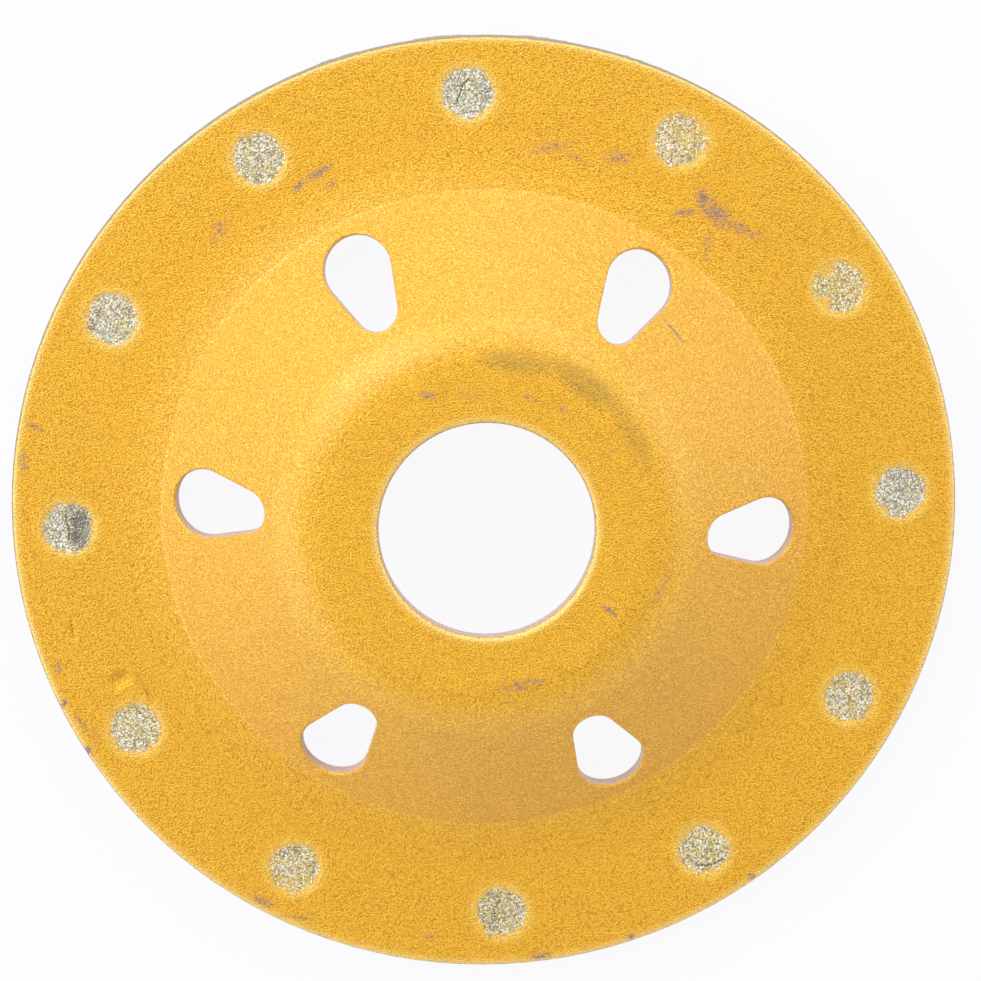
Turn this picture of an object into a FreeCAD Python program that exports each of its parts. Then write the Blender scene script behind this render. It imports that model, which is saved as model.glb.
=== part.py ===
"""Diamond cup wheel, 100 mm, in millimetres.

A pressed steel dish carries a sintered diamond ring under its flange.
+Z points to the hub's back face, the side that seats on the grinder.
The origin is the centre of the grinding face: the blocks stand on Z = 0.
+X passes through the middle of one anchor plug.
"""

import FreeCAD
import Part

import math
import os

import Sketcher
from FreeCAD import Vector

# Driving dimensions: alias of the cell, value, and what it measures.
# Radii are built up from the bore outwards, heights from the grinding face upwards.
SIZES = [
    ("bore_diameter", 22.23, "arbor hole, seven eighths of an inch"),
    ("hub_flat_width", 5.185, "flat ring of the hub's back face, round the bore"),
    ("cone_run", 17.6, "hub's flat ring to the foot of the cone, across"),
    ("toe_run", 6.1, "foot of the cone to the flat seat of the diamond ring, across"),
    ("ring_width", 9.75, "sintered ring from its inner wall to its rim"),
    ("rim_overhang", 0.1, "steel rim beyond the rim of the sintered ring"),
    ("sheet_thickness", 1.8, "steel sheet"),
    ("hub_rise", 12.1, "hub's back face above the flange's back face"),
    ("hub_round_radius", 9.5, "back face's bend from hub to cone"),
    ("crease_rise", 0.8, "foot of the cone above the flange"),
    ("crease_radius", 1.0, "bend at the foot of the cone"),
    ("rim_roll_radius", 0.5, "rolled edge of the punched rim"),
    ("bore_roll_radius", 0.6, "rolled edge of the punched bore"),
    ("vent_roll_radius", 0.25, "rolled edge of the punched vents"),
    ("vent_count", 6, "vents through the cone"),
    ("vent_phase", 54.6, "turn of the first vent from +X, degrees"),
    ("vent_lean", 6.5, "lean of a vent's punch out from the axis, degrees"),
    ("vent_foot_gap", 1.5, "foot of the cone to the outer side of a vent's punch, across"),
    ("vent_length", 10.4, "vent from end to end, square to its punch"),
    ("vent_outer_radius", 3.55, "round outer end of a vent"),
    ("vent_inner_radius", 2.25, "round inner end of a vent"),
    ("anchor_count", 12, "anchor holes through the flange"),
    ("anchor_inset", 3.95, "ring's inner wall to the middle of an anchor hole"),
    ("anchor_hole_diameter", 5.4, "one anchor hole"),
    ("anchor_lip_width", 0.8, "rolled lip round an anchor hole"),
    ("anchor_lip_depth", 0.2, "depth of that lip, where the plug ends"),
    ("ring_base_thickness", 1.2, "sintered layer under the flange"),
    ("ring_base_inset", 0.25, "rim of that layer inside the blocks' outer ends"),
    ("block_height", 2.4, "grinding blocks below that layer"),
    ("block_count", 28, "grinding blocks, and gullets between them"),
    ("gullet_width", 5.0, "gullet between two blocks, square to its walls"),
    ("gullet_lean", 30.0, "lean of a gullet from the radius, degrees"),
    ("gullet_phase", 6.6, "turn of the first gullet from +X, degrees"),
]

# Heights that follow from the driving dimensions
RING_TOP = "(sizes.block_height + sizes.ring_base_thickness)"
FLANGE_BACK = "(" + RING_TOP + " + sizes.sheet_thickness)"
HUB_BACK = "(" + FLANGE_BACK + " + sizes.hub_rise)"
CONE_FOOT_HEIGHT = "(" + FLANGE_BACK + " + sizes.crease_rise)"

# Radii that follow from them
BORE_RADIUS = "(sizes.bore_diameter / 2)"
HUB_FLAT_RADIUS = "(" + BORE_RADIUS + " + sizes.hub_flat_width)"
CONE_FOOT_RADIUS = "(" + HUB_FLAT_RADIUS + " + sizes.cone_run)"
SEAT_RADIUS = "(" + CONE_FOOT_RADIUS + " + sizes.toe_run)"
RING_RADIUS = "(" + SEAT_RADIUS + " + sizes.ring_width)"
BODY_RADIUS = "(" + RING_RADIUS + " + sizes.rim_overhang)"
ANCHOR_REACH = "(" + SEAT_RADIUS + " + sizes.anchor_inset)"
RING_MIDDLE = "(" + SEAT_RADIUS + " + sizes.ring_width / 2)"
BASE_RADIUS = "(" + RING_RADIUS + " - sizes.ring_base_inset)"

# Turns of the first vent and the first gullet from +X
TURN_OF_VENT = "sizes.vent_phase * 1 deg"
TURN_OF_GULLET = "sizes.gullet_phase * 1 deg"

# A vent's punch leans out from the axis, and its reaches are measured square to it
LEAN_OF_VENT = "sizes.vent_lean * 1 deg"
VENT_SIDE_RADIUS = "(" + CONE_FOOT_RADIUS + " - sizes.vent_foot_gap)"
VENT_SIDE_DROP = "(" + CONE_FOOT_HEIGHT + " * sin(" + LEAN_OF_VENT + "))"
VENT_OUTER_REACH = "(" + VENT_SIDE_RADIUS + " * cos(" + LEAN_OF_VENT + ") - " + VENT_SIDE_DROP + ")"
VENT_INNER_REACH = "(" + VENT_OUTER_REACH + " - sizes.vent_length)"
VENT_DEPTH = "(" + HUB_BACK + " + " + CONE_FOOT_RADIUS + " * sin(" + LEAN_OF_VENT + "))"

# A gullet is cut as a slot that runs well past both walls of the ring
LEAN_OF_GULLET = "sizes.gullet_lean * 1 deg"
GULLET_LENGTH = "(sizes.ring_width / cos(" + LEAN_OF_GULLET + ") + 3 * sizes.gullet_width)"

# How far a cutting profile runs past the metal that it cuts
OVERRUN = 1.0

# Two lengths closer than this are the same length
SAME_LENGTH = 0.01


def make_sheet(doc):
    """Write the driving dimensions into a spreadsheet."""
    sheet = doc.addObject("Spreadsheet::Sheet", "sizes")
    for row, (alias, value, note) in enumerate(SIZES, start=1):
        sheet.set("A%d" % row, alias)
        sheet.set("B%d" % row, str(value))
        sheet.set("C%d" % row, note)
        sheet.setAlias("B%d" % row, alias)
    doc.recompute()
    return sheet


def value_of(doc, expression):
    """Work out an expression of the sheet as a plain number."""
    result = doc.getObject("sizes").evalExpression(expression)
    return float(getattr(result, "Value", result))


def make_body(doc, name):
    """Make an empty body whose label names its file."""
    body = doc.addObject("PartDesign::Body", name)
    body.Label = name
    return body


def origin_feature(body, role):
    """Return one of the body's own origin planes or axes."""
    return next(item for item in body.Origin.OriginFeatures if item.Role == role)


def attach(item, support):
    """Lay a sketch or a plane on another plane."""
    item.AttachmentSupport = [(support, "")]
    item.MapMode = "FlatFace"


def make_sketch(body, name, plane):
    """Make a sketch on one of the body's origin planes."""
    sketch = body.newObject("Sketcher::SketchObject", name)
    attach(sketch, origin_feature(body, plane))
    return sketch


def add_line(sketch, start, end):
    """Draw a straight edge between two points."""
    return sketch.addGeometry(Part.LineSegment(Vector(*start, 0), Vector(*end, 0)))


def add_arc(sketch, centre, radius, start, end):
    """Draw an arc, counter-clockwise between two angles in radians."""
    circle = Part.Circle(Vector(*centre, 0), Vector(0, 0, 1), radius)
    return sketch.addGeometry(Part.ArcOfCircle(circle, start, end))


def join(sketch, kind, joints):
    """Join ends of edges: each joint is (edge, its end, next edge, its end)."""
    for joint in joints:
        sketch.addConstraint(Sketcher.Constraint(kind, *joint))


def hold(sketch, kind, edges):
    """Hold each edge level or upright."""
    for edge in edges:
        sketch.addConstraint(Sketcher.Constraint(kind, edge))


def bind(sketch, expression, kind, *geometry):
    """Add a dimension to a sketch and tie its value to the sheet."""
    value = value_of(sketch.Document, expression)
    if kind == "Angle":
        value = math.radians(value)
    index = sketch.addConstraint(Sketcher.Constraint(kind, *geometry, value))
    sketch.setExpression("Constraints[%d]" % index, expression)


def place(sketch, edge, end, across=None, up=None):
    """Fix the end of an edge at a distance across and up from the origin."""
    if across is not None:
        bind(sketch, across, "DistanceX", -1, 1, edge, end)
    if up is not None:
        bind(sketch, up, "DistanceY", -1, 1, edge, end)


def spin(body, sketch, name):
    """Turn a section once round the axis of the wheel."""
    solid = body.newObject("PartDesign::Revolution", name)
    solid.Profile = sketch
    solid.ReferenceAxis = (sketch, ["V_Axis"])
    solid.Angle = 360
    return solid


def repeat(body, feature, name, count):
    """Repeat a feature round the axis of the wheel."""
    pattern = body.newObject("PartDesign::PolarPattern", name)
    pattern.Originals = [feature]
    pattern.Axis = (origin_feature(body, "Z_Axis"), [""])
    pattern.Angle = 360
    pattern.setExpression("Occurrences", count)
    body.Tip = pattern
    return pattern


def require_less(before, after, name):
    """Stop if a cut has taken nothing away."""
    if after.Volume > before.Volume - SAME_LENGTH:
        raise RuntimeError(name + " cuts nothing")


def require_more(before, after, name):
    """Stop if a feature has added nothing."""
    if after.Volume < before.Volume + SAME_LENGTH:
        raise RuntimeError(name + " adds nothing")


def roll_edges(body, base, name, edges, radius):
    """Round some edges of the body, at a radius from the sheet."""
    if not edges:
        raise RuntimeError(name + " finds no edge")
    fillet = body.newObject("PartDesign::Fillet", name)
    fillet.Base = (base, edges)
    fillet.setExpression("Radius", radius)
    body.Tip = fillet
    return fillet


def edges_round_axis(shape, radius, height):
    """Name the edges that circle the axis at one radius and height."""
    names = []
    for number, edge in enumerate(shape.Edges, start=1):
        if not isinstance(edge.Curve, Part.Circle):
            continue
        centre = edge.Curve.Center
        offset = math.hypot(centre.x, centre.y)
        misses = (offset, abs(edge.Curve.Radius - radius), abs(centre.z - height))
        if max(misses) < SAME_LENGTH:
            names.append("Edge%d" % number)
    return names


def vent_punches(doc):
    """Give the direction of each vent's punch."""
    lean = math.radians(value_of(doc, LEAN_OF_VENT))
    first = math.radians(value_of(doc, TURN_OF_VENT))
    count = round(value_of(doc, "sizes.vent_count"))
    punches = []
    for number in range(count):
        turn = first + 2 * math.pi * number / count
        outward = Vector(math.cos(turn), math.sin(turn), 0)
        punches.append(outward * math.sin(lean) + Vector(0, 0, math.cos(lean)))
    return punches


def is_cut_by(face, punch):
    """Tell whether a face runs along a punch at its middle."""
    u_low, u_high, v_low, v_high = face.ParameterRange
    normal = face.normalAt((u_low + u_high) / 2, (v_low + v_high) / 2)
    return abs(normal.dot(punch)) < SAME_LENGTH


def runs_along(edge, punch):
    """Tell whether an edge runs from end to end along a punch."""
    chord = edge.Vertexes[-1].Point - edge.Vertexes[0].Point
    return chord.cross(punch).Length < SAME_LENGTH


def vent_back_edges(shape, punches, inner_reach, outer_reach):
    """Name the edges where the vents' walls meet the back face."""
    names = []
    for face in shape.Faces:
        middle = face.CenterOfMass
        reach = math.hypot(middle.x, middle.y)
        punch = max(punches, key=middle.dot)
        if not is_cut_by(face, punch) or not inner_reach - OVERRUN < reach < outer_reach + OVERRUN:
            continue
        crossing = [edge for edge in face.Edges if not runs_along(edge, punch)]
        highest = max(crossing, key=lambda edge: edge.CenterOfMass.z)
        for number, edge in enumerate(shape.Edges, start=1):
            if edge.isSame(highest):
                names.append("Edge%d" % number)
    return names


def dish_section(doc, body):
    """Draw the section of the dish: back face outwards, then the front face inwards."""
    rim = value_of(doc, BODY_RADIUS)
    seat = value_of(doc, SEAT_RADIUS)
    bore = value_of(doc, BORE_RADIUS)
    sheet = value_of(doc, "sizes.sheet_thickness")
    flange = value_of(doc, FLANGE_BACK)
    hub = value_of(doc, HUB_BACK)
    hub_edge = value_of(doc, HUB_FLAT_RADIUS)
    bend = value_of(doc, "sizes.hub_round_radius")
    foot = value_of(doc, CONE_FOOT_RADIUS)
    rise = value_of(doc, "sizes.crease_rise")

    # The toe is an arc that leaves the flange level and ends at the foot of the cone
    toe_run = seat - foot
    toe_radius = (toe_run ** 2 + rise ** 2) / (2 * rise)
    toe_angle = math.asin(toe_run / toe_radius)

    # The cone leaves the foot and touches the hub's bend
    run = foot - hub_edge
    climb = hub - bend - flange - rise
    slope = math.atan2(climb, run) + math.asin(bend / math.hypot(run, climb))
    outward = (math.sin(slope), math.cos(slope))
    bend_centre = (hub_edge, hub - bend)
    toe_centre = (seat, flange + toe_radius)
    bend_start = math.pi / 2 - slope
    foot_angle = 3 * math.pi / 2 - toe_angle
    level = math.pi / 2
    downward = 3 * math.pi / 2

    cone_top = (hub_edge + bend * outward[0], hub - bend + bend * outward[1])
    cone_foot = (foot, flange + rise)
    cone_top_under = (cone_top[0] - sheet * outward[0], cone_top[1] - sheet * outward[1])
    cone_foot_under = (cone_foot[0] - sheet * outward[0], cone_foot[1] - sheet * outward[1])

    sketch = make_sketch(body, "dish_section", "XZ_Plane")
    flange_back = add_line(sketch, (rim, flange), (seat, flange))
    toe_back = add_arc(sketch, toe_centre, toe_radius, foot_angle, downward)
    cone_back = add_line(sketch, cone_foot, cone_top)
    bend_back = add_arc(sketch, bend_centre, bend, bend_start, level)
    hub_back = add_line(sketch, (hub_edge, hub), (bore, hub))
    bore_wall = add_line(sketch, (bore, hub), (bore, hub - sheet))
    hub_front = add_line(sketch, (bore, hub - sheet), (hub_edge, hub - sheet))
    bend_front = add_arc(sketch, bend_centre, bend - sheet, bend_start, level)
    cone_front = add_line(sketch, cone_top_under, cone_foot_under)
    toe_front = add_arc(sketch, toe_centre, toe_radius + sheet, foot_angle, downward)
    flange_front = add_line(sketch, (seat, flange - sheet), (rim, flange - sheet))
    rim_wall = add_line(sketch, (rim, flange - sheet), (rim, flange))

    join(sketch, "Coincident", [
        (toe_back, 1, cone_back, 1),
        (hub_back, 2, bore_wall, 1),
        (bore_wall, 2, hub_front, 1),
        (cone_front, 2, toe_front, 1),
        (flange_front, 2, rim_wall, 1),
        (rim_wall, 2, flange_back, 1),
        (toe_back, 3, toe_front, 3),
        (bend_back, 3, bend_front, 3),
    ])
    join(sketch, "Tangent", [
        (flange_back, 2, toe_back, 2),
        (cone_back, 2, bend_back, 1),
        (bend_back, 2, hub_back, 1),
        (hub_front, 2, bend_front, 2),
        (bend_front, 1, cone_front, 1),
        (toe_front, 2, flange_front, 1),
    ])
    hold(sketch, "Horizontal", [flange_back, hub_back, hub_front, flange_front])
    hold(sketch, "Vertical", [bore_wall, rim_wall])
    sketch.addConstraint(Sketcher.Constraint("Parallel", cone_back, cone_front))

    place(sketch, flange_back, 1, BODY_RADIUS, FLANGE_BACK)
    place(sketch, flange_back, 2, SEAT_RADIUS)
    place(sketch, cone_back, 1, CONE_FOOT_RADIUS, CONE_FOOT_HEIGHT)
    place(sketch, bend_back, 2, HUB_FLAT_RADIUS, HUB_BACK)
    place(sketch, bore_wall, 1, BORE_RADIUS)
    bind(sketch, "sizes.hub_round_radius", "Radius", bend_back)
    bind(sketch, "sizes.sheet_thickness", "DistanceY", bore_wall, 2, bore_wall, 1)
    bind(sketch, "sizes.sheet_thickness", "DistanceY", rim_wall, 1, rim_wall, 2)
    return sketch, cone_front


def vent_outline(doc, body):
    """Draw one vent square to its punch, an egg with its wide end outwards."""
    wide = value_of(doc, "sizes.vent_outer_radius")
    narrow = value_of(doc, "sizes.vent_inner_radius")
    wide_centre = value_of(doc, VENT_OUTER_REACH) - wide
    narrow_centre = value_of(doc, VENT_INNER_REACH) + narrow
    touch = math.pi / 2 + math.asin((wide - narrow) / (wide_centre - narrow_centre))
    across = (math.cos(touch), math.sin(touch))

    turned = body.newObject("PartDesign::Plane", "vent_plane")
    attach(turned, origin_feature(body, "XY_Plane"))
    turned.setExpression("AttachmentOffset.Rotation.Angle", TURN_OF_VENT)
    sketch = body.newObject("Sketcher::SketchObject", "vent_outline")
    attach(sketch, turned)
    sketch.AttachmentOffset.Rotation.Axis = Vector(0, 1, 0)
    sketch.setExpression("AttachmentOffset.Rotation.Angle", LEAN_OF_VENT)
    outer_end = add_arc(sketch, (wide_centre, 0), wide, -touch, touch)
    upper_side = add_line(sketch,
                          (wide_centre + wide * across[0], wide * across[1]),
                          (narrow_centre + narrow * across[0], narrow * across[1]))
    inner_end = add_arc(sketch, (narrow_centre, 0), narrow, touch, 2 * math.pi - touch)
    lower_side = add_line(sketch,
                          (narrow_centre + narrow * across[0], -narrow * across[1]),
                          (wide_centre + wide * across[0], -wide * across[1]))
    join(sketch, "Tangent", [
        (outer_end, 2, upper_side, 1),
        (upper_side, 2, inner_end, 1),
        (inner_end, 2, lower_side, 1),
        (lower_side, 2, outer_end, 1),
    ])
    for end in (outer_end, inner_end):
        sketch.addConstraint(Sketcher.Constraint("PointOnObject", end, 3, -1))
    bind(sketch, "sizes.vent_outer_radius", "Radius", outer_end)
    bind(sketch, "sizes.vent_inner_radius", "Radius", inner_end)
    place(sketch, outer_end, 3, VENT_OUTER_REACH + " - sizes.vent_outer_radius")
    place(sketch, inner_end, 3, VENT_INNER_REACH + " + sizes.vent_inner_radius")
    return sketch


def anchor_section(doc, body):
    """Draw half the section of one anchor hole, with its rolled lip."""
    reach = value_of(doc, ANCHOR_REACH)
    wall = reach + value_of(doc, "sizes.anchor_hole_diameter / 2")
    width = value_of(doc, "sizes.anchor_lip_width")
    depth = value_of(doc, "sizes.anchor_lip_depth")
    flange = value_of(doc, FLANGE_BACK)
    bottom = value_of(doc, RING_TOP) - OVERRUN
    top = flange + OVERRUN
    lip_radius = (width ** 2 + depth ** 2) / (2 * depth)
    lip_end = math.pi / 2 + math.asin(width / lip_radius)

    sketch = make_sketch(body, "anchor_section", "XZ_Plane")
    below = add_line(sketch, (reach, bottom), (wall, bottom))
    side = add_line(sketch, (wall, bottom), (wall, flange - depth))
    lip = add_arc(sketch, (wall + width, flange - lip_radius), lip_radius, math.pi / 2, lip_end)
    clear = add_line(sketch, (wall + width, flange), (wall + width, top))
    above = add_line(sketch, (wall + width, top), (reach, top))
    middle = add_line(sketch, (reach, top), (reach, bottom))
    axis = add_line(sketch, (reach, bottom), (reach, top))
    sketch.toggleConstruction(axis)
    join(sketch, "Coincident", [
        (below, 2, side, 1),
        (side, 2, lip, 2),
        (lip, 1, clear, 1),
        (clear, 2, above, 1),
        (above, 2, middle, 1),
        (middle, 2, below, 1),
        (axis, 1, below, 1),
        (axis, 2, middle, 1),
    ])
    hold(sketch, "Horizontal", [below, above])
    hold(sketch, "Vertical", [side, clear, middle])
    sketch.addConstraint(Sketcher.Constraint("Vertical", lip, 3, lip, 1))
    place(sketch, below, 1, ANCHOR_REACH, RING_TOP + " - " + str(OVERRUN))
    place(sketch, middle, 1, up=FLANGE_BACK + " + " + str(OVERRUN))
    place(sketch, lip, 1, up=FLANGE_BACK)
    place(sketch, side, 2, up=FLANGE_BACK + " - sizes.anchor_lip_depth")
    bind(sketch, "sizes.anchor_hole_diameter / 2", "DistanceX", below, 1, below, 2)
    bind(sketch, "sizes.anchor_lip_width", "DistanceX", side, 2, clear, 1)
    return sketch


def ring_section(doc, body):
    """Draw the section of the sintered ring, base layer and blocks together."""
    inner = value_of(doc, SEAT_RADIUS)
    outer = value_of(doc, RING_RADIUS)
    base = value_of(doc, BASE_RADIUS)
    ledge = value_of(doc, "sizes.block_height")
    top = value_of(doc, RING_TOP)

    sketch = make_sketch(body, "ring_section", "XZ_Plane")
    face = add_line(sketch, (inner, 0), (outer, 0))
    block_wall = add_line(sketch, (outer, 0), (outer, ledge))
    block_ledge = add_line(sketch, (outer, ledge), (base, ledge))
    base_wall = add_line(sketch, (base, ledge), (base, top))
    seat = add_line(sketch, (base, top), (inner, top))
    inner_wall = add_line(sketch, (inner, top), (inner, 0))
    join(sketch, "Coincident", [
        (face, 2, block_wall, 1),
        (block_wall, 2, block_ledge, 1),
        (block_ledge, 2, base_wall, 1),
        (base_wall, 2, seat, 1),
        (seat, 2, inner_wall, 1),
        (inner_wall, 2, face, 1),
    ])
    hold(sketch, "Horizontal", [face, block_ledge, seat])
    hold(sketch, "Vertical", [block_wall, base_wall, inner_wall])
    sketch.addConstraint(Sketcher.Constraint("PointOnObject", face, 1, -1))
    place(sketch, inner_wall, 1, SEAT_RADIUS, RING_TOP)
    place(sketch, block_wall, 1, RING_RADIUS)
    place(sketch, base_wall, 1, BASE_RADIUS, "sizes.block_height")
    return sketch


def gullet_outline(doc, body):
    """Draw one gullet, a leaning slot right across the ring."""
    middle = value_of(doc, RING_MIDDLE)
    width = value_of(doc, "sizes.gullet_width")
    lean = math.radians(value_of(doc, "sizes.gullet_lean"))
    length = value_of(doc, GULLET_LENGTH)
    along = Vector(math.cos(lean), math.sin(lean), 0) * (length / 2)
    aside = Vector(-math.sin(lean), math.cos(lean), 0) * (width / 2)
    centre = Vector(middle, 0, 0)
    corners = [centre - along - aside, centre + along - aside,
               centre + along + aside, centre - along + aside]

    sketch = make_sketch(body, "gullet_outline", "XY_Plane")
    sketch.setExpression("AttachmentOffset.Rotation.Angle", TURN_OF_GULLET)
    sides = []
    for start, end in zip(corners, corners[1:] + corners[:1]):
        sides.append(sketch.addGeometry(Part.LineSegment(start, end)))
    slot_centre = sketch.addGeometry(Part.Point(centre))
    join(sketch, "Coincident", [
        (sides[0], 2, sides[1], 1),
        (sides[1], 2, sides[2], 1),
        (sides[2], 2, sides[3], 1),
        (sides[3], 2, sides[0], 1),
    ])
    for first, second in zip(sides, sides[1:]):
        sketch.addConstraint(Sketcher.Constraint("Perpendicular", first, second))
    sketch.addConstraint(Sketcher.Constraint("PointOnObject", slot_centre, 1, -1))
    sketch.addConstraint(
        Sketcher.Constraint("Symmetric", sides[0], 1, sides[1], 2, slot_centre, 1))
    place(sketch, slot_centre, 1, RING_MIDDLE)
    bind(sketch, LEAN_OF_GULLET, "Angle", sides[0])
    bind(sketch, GULLET_LENGTH, "Distance", sides[0])
    bind(sketch, "sizes.gullet_width", "Distance", sides[1])
    return sketch


def plug_outline(doc, body):
    """Draw one anchor plug on top of the ring."""
    sketch = make_sketch(body, "plug_outline", "XY_Plane")
    sketch.setExpression("AttachmentOffset.Base.z", RING_TOP)
    centre = Vector(value_of(doc, ANCHOR_REACH), 0, 0)
    radius = value_of(doc, "sizes.anchor_hole_diameter / 2")
    circle = sketch.addGeometry(Part.Circle(centre, Vector(0, 0, 1), radius))
    sketch.addConstraint(Sketcher.Constraint("PointOnObject", circle, 3, -1))
    place(sketch, circle, 3, ANCHOR_REACH)
    bind(sketch, "sizes.anchor_hole_diameter / 2", "Radius", circle)
    return sketch


def steel_body(doc):
    """Make the pressed dish: section, rolled edges, vents and anchor holes."""
    body = make_body(doc, "steel_body")
    section, cone_front = dish_section(doc, body)
    dish = spin(body, section, "dish")
    doc.recompute()

    foot_front = section.getPoint(cone_front, 2)
    bends = [
        ("rim_roll", value_of(doc, BODY_RADIUS), value_of(doc, FLANGE_BACK),
         "sizes.rim_roll_radius"),
        ("bore_roll", value_of(doc, BORE_RADIUS), value_of(doc, HUB_BACK),
         "sizes.bore_roll_radius"),
        ("crease_back", value_of(doc, CONE_FOOT_RADIUS), value_of(doc, CONE_FOOT_HEIGHT),
         "sizes.crease_radius"),
        ("crease_front", foot_front.x, foot_front.y, "sizes.crease_radius"),
    ]
    blank = dish
    for name, radius, height, roll in bends:
        edges = edges_round_axis(blank.Shape, radius, height)
        blank = roll_edges(body, blank, name, edges, roll)
        doc.recompute()

    vent = body.newObject("PartDesign::Pocket", "vent")
    vent.Profile = vent_outline(doc, body)
    vent.Type = "Length"
    vent.setExpression("Length", VENT_DEPTH)
    vent.Reversed = True
    vents = repeat(body, vent, "vents", "sizes.vent_count")
    doc.recompute()
    require_less(blank.Shape, vents.Shape, "vents")

    anchor_profile = anchor_section(doc, body)
    anchor = body.newObject("PartDesign::Groove", "anchor_hole")
    anchor.Profile = anchor_profile
    anchor.ReferenceAxis = (anchor_profile, ["Axis0"])
    anchor.Angle = 360
    anchors = repeat(body, anchor, "anchor_holes", "sizes.anchor_count")
    doc.recompute()
    require_less(vents.Shape, anchors.Shape, "anchor_holes")

    inner_reach = value_of(doc, VENT_INNER_REACH)
    outer_reach = value_of(doc, VENT_OUTER_REACH)
    edges = vent_back_edges(anchors.Shape, vent_punches(doc), inner_reach, outer_reach)
    roll_edges(body, anchors, "vent_rolls", edges, "sizes.vent_roll_radius")
    doc.recompute()
    return body


def abrasive_ring(doc):
    """Make the sintered ring: base layer, grinding blocks and anchor plugs."""
    body = make_body(doc, "abrasive_ring")
    ring = spin(body, ring_section(doc, body), "ring")
    doc.recompute()

    gullet = body.newObject("PartDesign::Pocket", "gullet")
    gullet.Profile = gullet_outline(doc, body)
    gullet.Type = "Length"
    gullet.setExpression("Length", "sizes.block_height")
    gullet.Reversed = True
    gullets = repeat(body, gullet, "gullets", "sizes.block_count")
    doc.recompute()
    require_less(ring.Shape, gullets.Shape, "gullets")

    plug = body.newObject("PartDesign::Pad", "plug")
    plug.Profile = plug_outline(doc, body)
    plug.setExpression("Length", "sizes.sheet_thickness - sizes.anchor_lip_depth")
    plugs = repeat(body, plug, "plugs", "sizes.anchor_count")
    doc.recompute()
    require_more(gullets.Shape, plugs.Shape, "plugs")
    return body


def require_sound(doc, bodies):
    """Stop if any object has failed or any body isn't one valid solid."""
    for item in doc.Objects:
        if "Invalid" in item.State or "Error" in item.State:
            raise RuntimeError(item.Name + " has failed: " + str(item.State))
    for body in bodies:
        if body.Shape.isNull() or not body.Shape.isValid():
            raise RuntimeError(body.Label + " isn't valid")
        if len(body.Shape.Solids) != 1:
            raise RuntimeError(body.Label + " isn't one solid")


def main():
    """Build the wheel and write each piece to its own file."""
    os.makedirs("parts", exist_ok=True)
    doc = FreeCAD.newDocument("cup_wheel")
    make_sheet(doc)
    bodies = [steel_body(doc), abrasive_ring(doc)]
    doc.recompute()
    require_sound(doc, bodies)
    for body in bodies:
        body.Shape.exportStep(os.path.join("parts", body.Label + ".step"))
        print("%s: volume %.1f mm3" % (body.Label, body.Shape.Volume))


main()
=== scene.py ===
"""Looks of a 100 mm diamond cup wheel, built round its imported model.

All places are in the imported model's frame: +Z is the side with the hub's back
face, the grinding blocks stand on Z = 0, and +X passes through an anchor plug.
Meshes are in metres. The fields of the classes below are in millimetres and
degrees, unless their class says otherwise.
"""

import logging
import math
import random
from dataclasses import dataclass
from enum import Enum
from typing import Callable, NamedTuple

import bpy
from bpy.types import MeshPolygon, Node, NodeSocket, NodeTree, Object
from mathutils import Matrix, Vector


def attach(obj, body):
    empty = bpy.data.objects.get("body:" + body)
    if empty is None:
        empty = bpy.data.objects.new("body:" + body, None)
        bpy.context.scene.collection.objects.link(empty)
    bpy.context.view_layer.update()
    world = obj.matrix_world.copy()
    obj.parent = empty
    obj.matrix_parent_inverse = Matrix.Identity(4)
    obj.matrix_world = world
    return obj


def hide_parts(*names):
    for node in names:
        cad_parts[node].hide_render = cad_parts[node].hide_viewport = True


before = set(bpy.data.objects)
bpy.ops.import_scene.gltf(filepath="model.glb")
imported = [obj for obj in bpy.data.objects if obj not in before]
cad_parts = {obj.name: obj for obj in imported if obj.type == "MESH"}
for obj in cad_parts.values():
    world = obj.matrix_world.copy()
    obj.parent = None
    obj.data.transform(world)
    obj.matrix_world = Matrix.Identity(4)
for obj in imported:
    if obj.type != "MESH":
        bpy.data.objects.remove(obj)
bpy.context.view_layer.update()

MM = 0.001
LOG = logging.getLogger("cup_wheel")

# A noise keeps to about this range round its middle
NOISE_RANGE = (0.3, 0.7)
NOISE_ROUGHNESS = 0.6

COAT_ROUGHNESS = 0.3
WHITE = (1, 1, 1, 1)

Colour = tuple[float, float, float, float]
Pair = tuple[float, float]


def shade(red: int, green: int, blue: int) -> Colour:
    """Turn a colour of 0 to 255, as on a screen, into the linear one of a shader.

    Args:
        red: Red, 0 to 255.
        green: Green, 0 to 255.
        blue: Blue, 0 to 255.

    Returns:
        The linear colour with full alpha.
    """
    linear = []
    for part in (red, green, blue):
        value = part / 255
        # The standard curve of a screen: a straight foot, and a power above it
        linear.append(value / 12.92 if value <= 0.04045 else ((value + 0.055) / 1.055) ** 2.4)
    return (linear[0], linear[1], linear[2], 1.0)


def clamp(value: float, low: float = 0.0, high: float = 1.0) -> float:
    """Return the value, held between low and high."""
    return min(high, max(low, value))


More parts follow.
